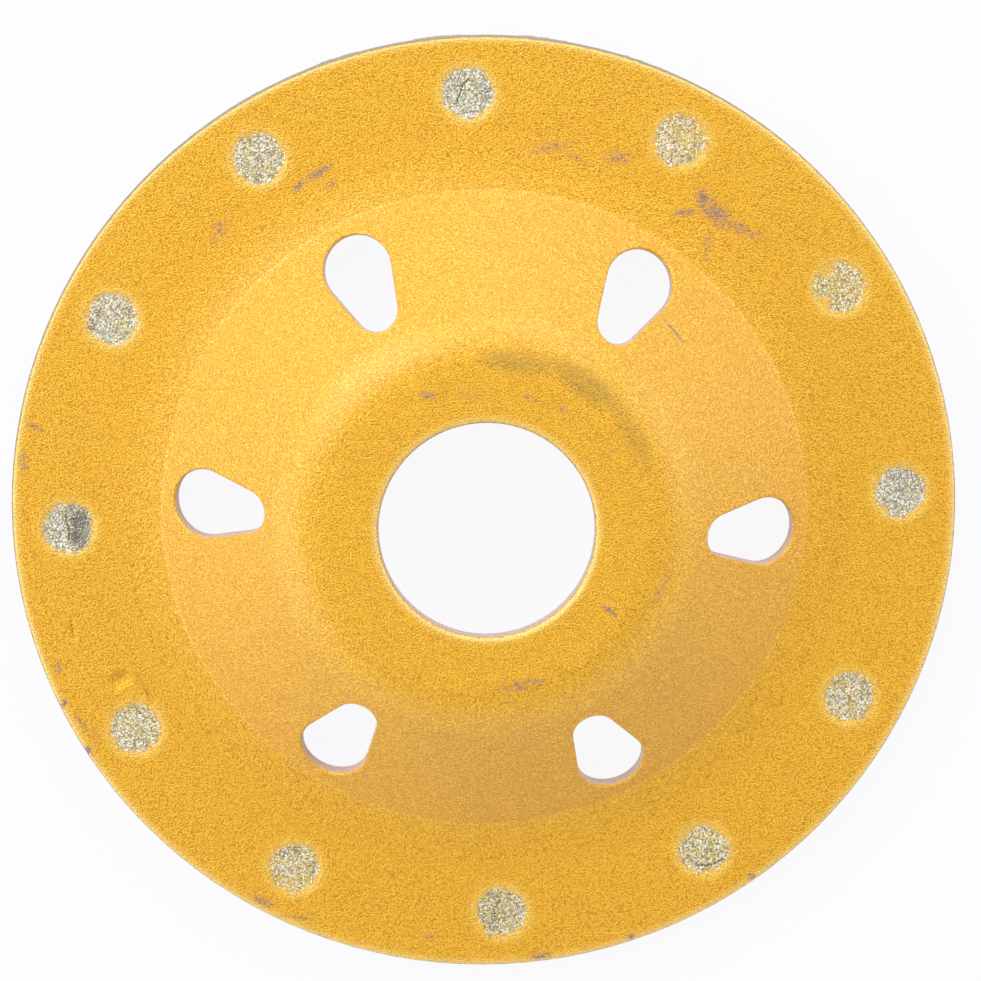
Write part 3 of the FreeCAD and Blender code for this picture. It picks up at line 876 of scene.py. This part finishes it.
@dataclass
class SinteredRing:
    """The diamond ring: base layer, leaning blocks and the stems of its plugs."""

    finish: SinteredGrain
    diamond: Crystal
    weld: float = 0.001
    voxel: float = 0.36
    lump: float = 0.7
    lump_depth: float = 0.12
    grit_lump: float = 0.25
    grit_depth: float = 0.06
    stem_sink: float = 0.3
    grit_count: int = 1500
    grit_size: Pair = (0.13, 0.22)
    grit_width: Pair = (0.75, 1.0)
    grit_height: Pair = (0.7, 1.1)
    grit_sunk_share: float = 0.45
    bare_margin: float = 0.2
    gullet_margin: float = 0.35
    facing_down: float = -0.5
    seed: int = 11

    def build(self) -> Object:
        """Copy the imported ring, even out its mesh and roughen it.

        Returns:
            The ring.
        """
        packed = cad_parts["abrasive_ring"]
        ring = bpy.data.objects.new("sintered_ring", packed.data.copy())
        bpy.context.scene.collection.objects.link(ring)
        ring.data.materials.clear()
        only(ring)
        bpy.ops.object.mode_set(mode="EDIT")
        bpy.ops.mesh.select_all(action="SELECT")
        bpy.ops.mesh.remove_doubles(threshold=self.weld * MM)
        bpy.ops.object.mode_set(mode="OBJECT")
        even = ring.modifiers.new("even", "REMESH")
        even.mode = "VOXEL"
        even.voxel_size = self.voxel * MM
        bpy.ops.object.modifier_apply(modifier=even.name)
        self.sink_stems(ring)
        roughen(ring, self.lump, self.lump_depth)
        roughen(ring, self.grit_lump, self.grit_depth)
        only(ring)
        bpy.ops.object.shade_smooth()
        dress(ring, "sintered_matrix", self.finish.lay)
        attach(ring, "root")
        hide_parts("abrasive_ring")
        return ring

    def sink_stems(self, ring: Object) -> None:
        """Lower the tops of the stems, which the plugs' own ends cover.

        Args:
            ring: The ring.
        """
        top = (SIZES.plug_top - self.stem_sink) * MM
        for vertex in ring.data.vertices:
            vertex.co.z = min(vertex.co.z, top)

    def holds_grit(self, face: MeshPolygon) -> bool:
        """Tell if crystals may sit in a face.

        Args:
            face: A face of the ring.

        Returns:
            True on the blocks, and not on the floors of their gullets.
        """
        low = face.center.z < (SIZES.block_height - self.bare_margin) * MM
        in_gullet = face.center.z > (SIZES.block_height - self.gullet_margin) * MM
        return low and not (face.normal.z < self.facing_down and in_gullet)

    def crystals(self, ring: Object) -> Object:
        """Set diamond crystals into the blocks' faces and walls.

        Args:
            ring: The finished ring.

        Returns:
            The crystals, as one piece.
        """
        bpy.ops.object.select_all(action="DESELECT")
        bpy.ops.mesh.primitive_ico_sphere_add(subdivisions=1, radius=MM)
        model = bpy.context.object
        chance = random.Random(self.seed)
        faces = [face for face in ring.data.polygons if self.holds_grit(face)]
        copies = []
        for face in chance.sample(faces, self.grit_count):
            size = chance.uniform(*self.grit_size)
            crystal = bpy.data.objects.new("crystal", model.data.copy())
            bpy.context.scene.collection.objects.link(crystal)
            crystal.location = face.center - face.normal * size * self.grit_sunk_share * MM
            crystal.rotation_euler = [chance.uniform(0, math.tau) for _ in range(3)]
            width = chance.uniform(*self.grit_width)
            height = chance.uniform(*self.grit_height)
            crystal.scale = (size, size * width, size * height)
            copies.append(crystal)
        bpy.data.objects.remove(model)
        bpy.ops.object.select_all(action="DESELECT")
        for crystal in copies:
            crystal.select_set(True)
        bpy.context.view_layer.objects.active = copies[0]
        bpy.ops.object.join()
        grit = bpy.context.object
        grit.name = "diamond_grit"
        rest_at_origin(grit)
        bpy.ops.object.shade_flat()
        dress(grit, self.diamond.name, self.diamond.lay)
        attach(grit, "root")
        return grit


class Patch(NamedTuple):
    """A round patch on a plug's end, in millimetres from its middle."""

    across: float
    up: float
    radius: float
    strength: float = 1.0


@dataclass(frozen=True)
class PlugLook:
    """How one plug's end differs from the rest.

    cover is the paint left all over it, painted and bare the patches with more
    or less of it. One half is darkened as painted shade, by a share and towards
    a side in degrees from +X, and drop is how far that half sinks, in millimetres.
    pits are the dark patches, tint is how yellow its grain is, and a crack is a line of points.
    """

    cover: float = 0.0
    painted: tuple[Patch, ...] = ()
    bare: tuple[Patch, ...] = ()
    shade_and_pits: float = 0.0
    shaded_side: float = 0.0
    drop: float = 0.0
    pits: tuple[Patch, ...] = ()
    tint: float = 0.0
    crack: tuple[tuple[float, float], ...] = ()


PLUG_LOOKS = (
    PlugLook(shade_and_pits=0.25, shaded_side=80.0,
             painted=(Patch(-1.9, -1.9, 0.7), Patch(1.8, -2.0, 0.7))),
    PlugLook(cover=0.62, tint=1.0, painted=(Patch(-1.9, -1.9, 1.0), Patch(-1.4, 2.1, 0.8)),
             bare=(Patch(-2.3, 1.1, 0.5, 0.7), Patch(-1.4, 0.0, 0.7, 0.6), Patch(0.8, 1.9, 0.5, 0.6),
                   Patch(1.7, 0.8, 0.5, 0.6), Patch(0.4, -1.8, 0.9, 0.4))),
    PlugLook(cover=0.52, tint=0.8, painted=(Patch(1.9, 1.2, 1.1, 0.5), Patch(2.1, -2.0, 0.8)),
             bare=(Patch(-1.6, 1.2, 0.8, 0.6), Patch(-1.5, -0.2, 0.9, 0.5),
                   Patch(-1.2, -1.8, 1.0, 0.5), Patch(0.4, 1.6, 0.5, 0.6), Patch(0.9, -1.3, 0.7, 0.4))),
    PlugLook(crack=((0.2, 1.4), (-0.5, 0.8), (-0.7, 0.1), (-1.15, -0.8)),
             pits=(Patch(1.9, -0.2, 0.7, 0.6),)),
    PlugLook(tint=0.35, cover=0.05, painted=(Patch(2.1, -2.0, 0.7), Patch(-2.2, -1.6, 0.5))),
    PlugLook(tint=0.2, painted=(Patch(-2.0, -2.1, 0.8), Patch(-0.4, 0.8, 0.9, 0.3)),
             pits=(Patch(-1.4, 0.7, 0.4), Patch(-2.2, -0.8, 0.4), Patch(1.8, 0.8, 0.6, 0.5))),
    PlugLook(shade_and_pits=0.75, shaded_side=5.0, drop=0.06, pits=(Patch(1.2, 0.7, 0.8), Patch(0.7, -0.9, 0.7)),
             crack=((-0.2, 1.4), (-0.15, 0.6), (0.1, -0.2), (-0.05, -1.3))),
    PlugLook(cover=0.08, tint=0.4, painted=(Patch(-0.2, 0.0, 1.0, 0.35),
                                            Patch(1.2, -0.9, 0.6, 0.4), Patch(1.3, 2.2, 0.5))),
    PlugLook(cover=0.08, tint=0.7, painted=(Patch(-1.2, -2.7, 1.2), Patch(-2.3, 0.9, 0.8, 0.5)),
             pits=(Patch(0.4, 2.1, 0.5, 0.8), Patch(2.0, 0.0, 0.6, 0.6))),
    PlugLook(tint=0.6, shade_and_pits=0.35, shaded_side=180.0, pits=(Patch(0.0, 0.0, 1.8, 0.3),)),
    PlugLook(tint=0.7, pits=(Patch(0.75, 0.0, 0.25),),
             crack=((-0.9, -1.6), (0.2, -1.8), (1.3, -1.55), (2.0, -1.1))),
    PlugLook(tint=0.45, painted=(Patch(-2.0, -2.2, 0.6), Patch(2.1, -2.1, 0.6)),
             shade_and_pits=0.15, shaded_side=90.0),
)


def patched(local: Vector, patches: tuple[Patch, ...]) -> float:
    """Find how strongly the patches hold at a place of a plug's end.

    Args:
        local: Place from the plug's middle, in millimetres.
        patches: The patches.

    Returns:
        The strongest patch there, fading out past its edge.
    """
    strongest = 0.0
    for patch in patches:
        out = (local - Vector((patch.across, patch.up))).length
        # Full up to half the radius, and gone at one and a half
        strongest = max(strongest, clamp(1.5 - out / patch.radius) * patch.strength)
    return strongest


@dataclass
class AnchorPlugs:
    """The ends of the sintered plugs, seen in the dish's anchor holes."""

    finish: PlugEnd
    radius: float = 3.34
    bare_radius: float = 2.5
    cells: int = 76
    lift: float = 0.015
    bridge_start: float = 2.2
    bridge_end: float = 3.3
    tuck: float = 0.05
    tuck_width: float = 0.14
    lump: float = 0.17
    depth: float = 0.26
    edge_waves: tuple[int, ...] = (2, 3, 4, 5)
    wave_share: Pair = (0.01, 0.035)
    edge_width: float = 0.5
    cover_limits: Pair = (-0.4, 1.4)
    bareness: float = 0.15
    grain_loss: float = 0.9
    side_width: float = 0.5
    side_start: float = 0.1
    shade_limit: float = 2.2
    crack_width: float = 0.15
    crack_depth: float = 0.12
    crack_shade: float = 2.2
    seed: int = 5

    def build(self) -> list[Object]:
        """Make one grainy end for each plug.

        Returns:
            The twelve ends.
        """
        ends = []
        for number, look in enumerate(PLUG_LOOKS):
            around = math.tau * number / SIZES.anchor_count
            middle = Vector((math.cos(around), math.sin(around), 0)) * SIZES.anchor_reach
            middle.z = SIZES.plug_top + self.lift
            end = self.disc(number, middle)
            self.shape(end, middle, look, random.Random(self.seed + number))
            roughen(end, self.lump, self.depth, "Z", "grain")
            only(end)
            bpy.ops.object.shade_smooth()
            dress(end, self.finish.name, self.finish.lay)
            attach(end, "root")
            ends.append(end)
        return ends

    def disc(self, number: int, middle: Vector) -> Object:
        """Make a flat round sheet of small faces.

        Args:
            number: The plug's number, from +X.
            middle: Its middle, in millimetres.

        Returns:
            The sheet.
        """
        bpy.ops.object.select_all(action="DESELECT")
        bpy.ops.mesh.primitive_grid_add(x_subdivisions=self.cells, y_subdivisions=self.cells,
                                        size=2 * self.radius * MM, location=middle * MM)
        end = bpy.context.object
        end.name = "plug_end_%02d" % number
        rest_at_origin(end)
        centre = Vector((middle.x, middle.y)) * MM
        bpy.ops.object.mode_set(mode="EDIT")
        bpy.ops.mesh.select_mode(type="VERT")
        bpy.ops.mesh.select_all(action="DESELECT")
        bpy.ops.object.mode_set(mode="OBJECT")
        for vertex in end.data.vertices:
            vertex.select = (vertex.co.xy - centre).length > self.radius * MM
        bpy.ops.object.mode_set(mode="EDIT")
        bpy.ops.mesh.delete(type="VERT")
        bpy.ops.object.mode_set(mode="OBJECT")
        return end

    def shape(self, end: Object, middle: Vector, look: PlugLook, chance: random.Random) -> None:
        """Sink cracks and the rim, say where the paint lies, and where shade is painted.

        Args:
            end: The plug's end.
            middle: Its middle, in millimetres.
            look: How it differs from the rest.
            chance: Random numbers of this plug.
        """
        waves = [(count, chance.uniform(*self.wave_share), chance.uniform(0, math.tau))
                 for count in self.edge_waves]
        cover, shade_and_pits, tint = [], [], []
        dark = Vector((math.cos(math.radians(look.shaded_side)),
                       math.sin(math.radians(look.shaded_side))))
        group = end.vertex_groups.new(name="grain")
        for vertex in end.data.vertices:
            local = vertex.co.xy / MM - middle.xy
            out = local.length
            turn = math.atan2(local.y, local.x)
            ripple = sum(share * math.cos(count * turn + phase) for count, share, phase in waves)
            edge = self.bare_radius * (1 + ripple)
            rim = max(0.0, (out - edge) / self.edge_width + 0.5)
            film = max(look.cover - self.bareness + patched(local, look.painted), rim)
            film -= patched(local, look.bare) * (1 - clamp(out - edge))
            cover.append(clamp(film, *self.cover_limits))
            # Painted shade: the shaded half, the crack and the pits are darkened in colour
            side = clamp(local.dot(dark) / self.side_width + self.side_start)
            crack = self.crack_at(local, look)
            darkness = look.shade_and_pits * side + patched(local, look.pits) + self.crack_shade * crack
            shade_and_pits.append(min(self.shade_limit, darkness))
            tint.append(look.tint)
            sink = look.drop * side * max(0.0, 1 - out / self.radius)
            sink += self.crack_depth * crack
            sink += self.tuck * max(0.0, (out - self.radius) / self.tuck_width + 1)
            vertex.co.z += (self.lip_rise(out) - sink) * MM
            group.add([vertex.index], 1 - self.grain_loss * clamp(film), "REPLACE")
        for name, values in (("cover", cover), ("shade_and_pits", shade_and_pits), ("tint", tint)):
            layer = end.data.attributes.new(name, "FLOAT", "POINT")
            layer.data.foreach_set("value", values)

    def lip_rise(self, out: float) -> float:
        """Find how far the paint that bridges plug and lip has risen.

        Args:
            out: Distance from the plug's middle, in millimetres.

        Returns:
            The rise there, in millimetres.
        """
        share = clamp((out - self.bridge_start) / (self.bridge_end - self.bridge_start))
        return SIZES.lip_depth * share * share * (3 - 2 * share)

    def crack_at(self, local: Vector, look: PlugLook) -> float:
        """Find how deep in a plug's crack a place is.

        Args:
            local: Place from the plug's middle, in millimetres.
            look: The plug's look, with its crack.

        Returns:
            1 in the middle of the crack, and 0 away from it.
        """
        nearest = self.crack_width
        for start, stop in zip(look.crack, look.crack[1:]):
            first, last = Vector(start), Vector(stop)
            span = last - first
            share = clamp((local - first).dot(span) / span.length_squared)
            nearest = min(nearest, (local - first - span * share).length)
        return 1 - nearest / self.crack_width


@dataclass(frozen=True)
class PaleFloor:
    """The pale floor that the wheel stands on, clear when seen from below."""

    side: float = 6000.0
    drop: float = 0.13
    cloth: Colour = (0.9, 0.9, 0.9, 1)
    glow: Colour = (0.985, 0.98, 1.0, 1)
    glow_seen: float = 0.94
    glow_cast: float = 0.4

    def build(self) -> Object:
        """Lay the floor.

        Returns:
            The floor.
        """
        bpy.ops.object.select_all(action="DESELECT")
        bpy.ops.mesh.primitive_plane_add(size=self.side * MM, location=(0, 0, -self.drop * MM))
        floor = bpy.context.object
        floor.name = "studio_floor"
        material = bpy.data.materials.new("pale_floor")
        material.use_nodes = True
        material.node_tree.nodes.clear()
        bench = NodeBench(material.node_tree)
        cloth = bench.node("ShaderNodeBsdfDiffuse", None, {"Color": self.cloth})
        glow = bench.node("ShaderNodeEmission", None, {"Color": self.glow, "Strength": 1.0})
        seen = bench.node("ShaderNodeLightPath").outputs["Is Camera Ray"]
        share = bench.blend(seen, self.glow_cast, self.glow_seen)
        above = bench.node("ShaderNodeMixShader", None,
                           {0: share, 1: cloth.outputs[0], 2: glow.outputs[0]})
        under = bench.node("ShaderNodeNewGeometry").outputs["Backfacing"]
        clear = bench.node("ShaderNodeBsdfTransparent")
        laid = bench.node("ShaderNodeMixShader", None,
                          {0: under, 1: above.outputs[0], 2: clear.outputs[0]})
        bench.node("ShaderNodeOutputMaterial", None, {"Surface": laid.outputs[0]})
        floor.data.materials.append(material)
        return floor


@dataclass(frozen=True)
class Lamp:
    """One soft box, aimed at the wheel. Angles are in degrees, and power in watts."""

    name: str
    azimuth: float
    elevation: float
    power: float
    distance: float = 700.0
    size: float = 450.0

    def hang(self) -> None:
        """Hang the soft box."""
        data = bpy.data.lights.new(self.name, "AREA")
        data.shape = "SQUARE"
        data.size = self.size * MM
        data.energy = self.power
        box = bpy.data.objects.new(self.name, data)
        bpy.context.scene.collection.objects.link(box)
        around, up = math.radians(self.azimuth), math.radians(self.elevation)
        level = math.cos(up)
        away = Vector((math.cos(around) * level, math.sin(around) * level, math.sin(up)))
        box.location = away * self.distance * MM
        box.rotation_euler = away.to_track_quat("Z", "Y").to_euler()


@dataclass(frozen=True)
class PhotoCamera:
    """The camera as fitted to the photograph.

    Tilt and swing are in radians, and turn is in degrees. The scale is in pixels
    a millimetre, and centre is the pixel of the middle of the flange's back.
    """

    tilt: float = 0.171930523
    swing: float = 0.0206918929
    turn: float = 2.52
    distance: float = 409.434103
    scale: float = 9.47444343
    centre: Pair = (484.667429, 510.192702)
    picture_side: int = 981
    sensor: float = 36.0
    clip_start: float = 10.0

    def build(self) -> Object:
        """Set up the camera.

        Returns:
            The camera.
        """
        middle = self.picture_side / 2
        across, down = [(pixel - middle) / self.scale for pixel in self.centre]
        spin = (Matrix.Rotation(self.swing, 4, "Y") @ Matrix.Rotation(self.tilt, 4, "X")
                @ Matrix.Rotation(math.radians(self.turn), 4, "Z"))
        shift = Matrix.Translation(Vector((across, -down, -self.distance)) * MM)
        drop = Matrix.Translation(Vector((0, 0, -SIZES.flange_back)) * MM)
        data = bpy.data.cameras.new("camera")
        data.sensor_width = self.sensor
        data.lens = self.sensor * self.scale * self.distance / self.picture_side
        data.clip_start = self.clip_start * MM
        camera = bpy.data.objects.new("camera", data)
        bpy.context.scene.collection.objects.link(camera)
        camera.matrix_world = (shift @ spin @ drop).inverted()
        bpy.context.scene.camera = camera
        return camera


@dataclass(frozen=True)
class Studio:
    """Floor, world, lamps and camera. The world's strengths are in plain numbers."""

    lamps: tuple[Lamp, ...] = (
        Lamp("key_box", 132, 48, 2.5),
        Lamp("side_box", 72, 40, 1.1),
        Lamp("left_box", 195, 35, 1.1),
        Lamp("right_box", 15, 35, 0.95),
    )
    ambient: float = 0.4
    wall_shine: float = 1.9
    ceiling_shine: float = 0.1
    ceiling_rise: Pair = (0.5, 0.92)
    bright_side: tuple[float, float, float] = (-0.34, 0.94, 0.0)
    side_gain: float = 0.12

    def wrap(self) -> None:
        """Set the world's pale light, which the camera sees as plain white."""
        world = bpy.data.worlds.new("studio")
        bpy.context.scene.world = world
        world.use_nodes = True
        world.node_tree.nodes.clear()
        bench = NodeBench(world.node_tree)
        path = bench.node("ShaderNodeLightPath").outputs
        toward = bench.node("ShaderNodeTexCoord").outputs["Generated"]
        rise = bench.step(bench.part(toward, 2), *self.ceiling_rise)
        shine = bench.blend(rise, self.wall_shine, self.ceiling_shine)
        strength = bench.blend(path["Is Glossy Ray"], self.ambient, shine)
        lean = bench.vector("DOT_PRODUCT", {0: toward, 1: self.bright_side}).outputs["Value"]
        slope = bench.math("MULTIPLY_ADD", lean, self.side_gain, 1.0)
        strength = bench.times(strength, slope)
        plain = bench.math("MAXIMUM", path["Is Camera Ray"], path["Is Transmission Ray"])
        strength = bench.blend(plain, strength, 1.0)
        sky = bench.node("ShaderNodeBackground", None, {"Color": WHITE, "Strength": strength})
        bench.node("ShaderNodeOutputWorld", None, {"Surface": sky.outputs[0]})

    def build(self) -> None:
        """Build all of the studio."""
        PaleFloor().build()
        for lamp in self.lamps:
            lamp.hang()
        self.wrap()
        PhotoCamera().build()
        bpy.context.scene.view_settings.view_transform = "Standard"


def main() -> None:
    """Build and dress the wheel, then the studio round it."""
    logging.basicConfig(level=logging.INFO, format="%(message)s")
    paint = GoldPaint()
    dish = PaintedDish(paint).dress()
    LOG.info("dressed %s", dish.name)
    matrix = SinteredGrain(base=shade(150, 145, 126), dark=shade(70, 66, 58),
                           glint=shade(206, 202, 184), tint=shade(158, 146, 108))
    sintered = SinteredRing(matrix, Crystal())
    ring = sintered.build()
    LOG.info("built %s, %d faces", ring.name, len(ring.data.polygons))
    grit = sintered.crystals(ring)
    LOG.info("built %s, %d faces", grit.name, len(grit.data.polygons))
    worn = SinteredGrain(base=shade(200, 195, 172), dark=shade(96, 90, 78),
                         glint=shade(255, 252, 238), tint=shade(228, 198, 100))
    for end in AnchorPlugs(PlugEnd("plug_end", worn, paint)).build():
        LOG.info("built %s, %d faces", end.name, len(end.data.polygons))
    Studio().build()
    LOG.info("built the studio")


if __name__ == "__main__":
    main()
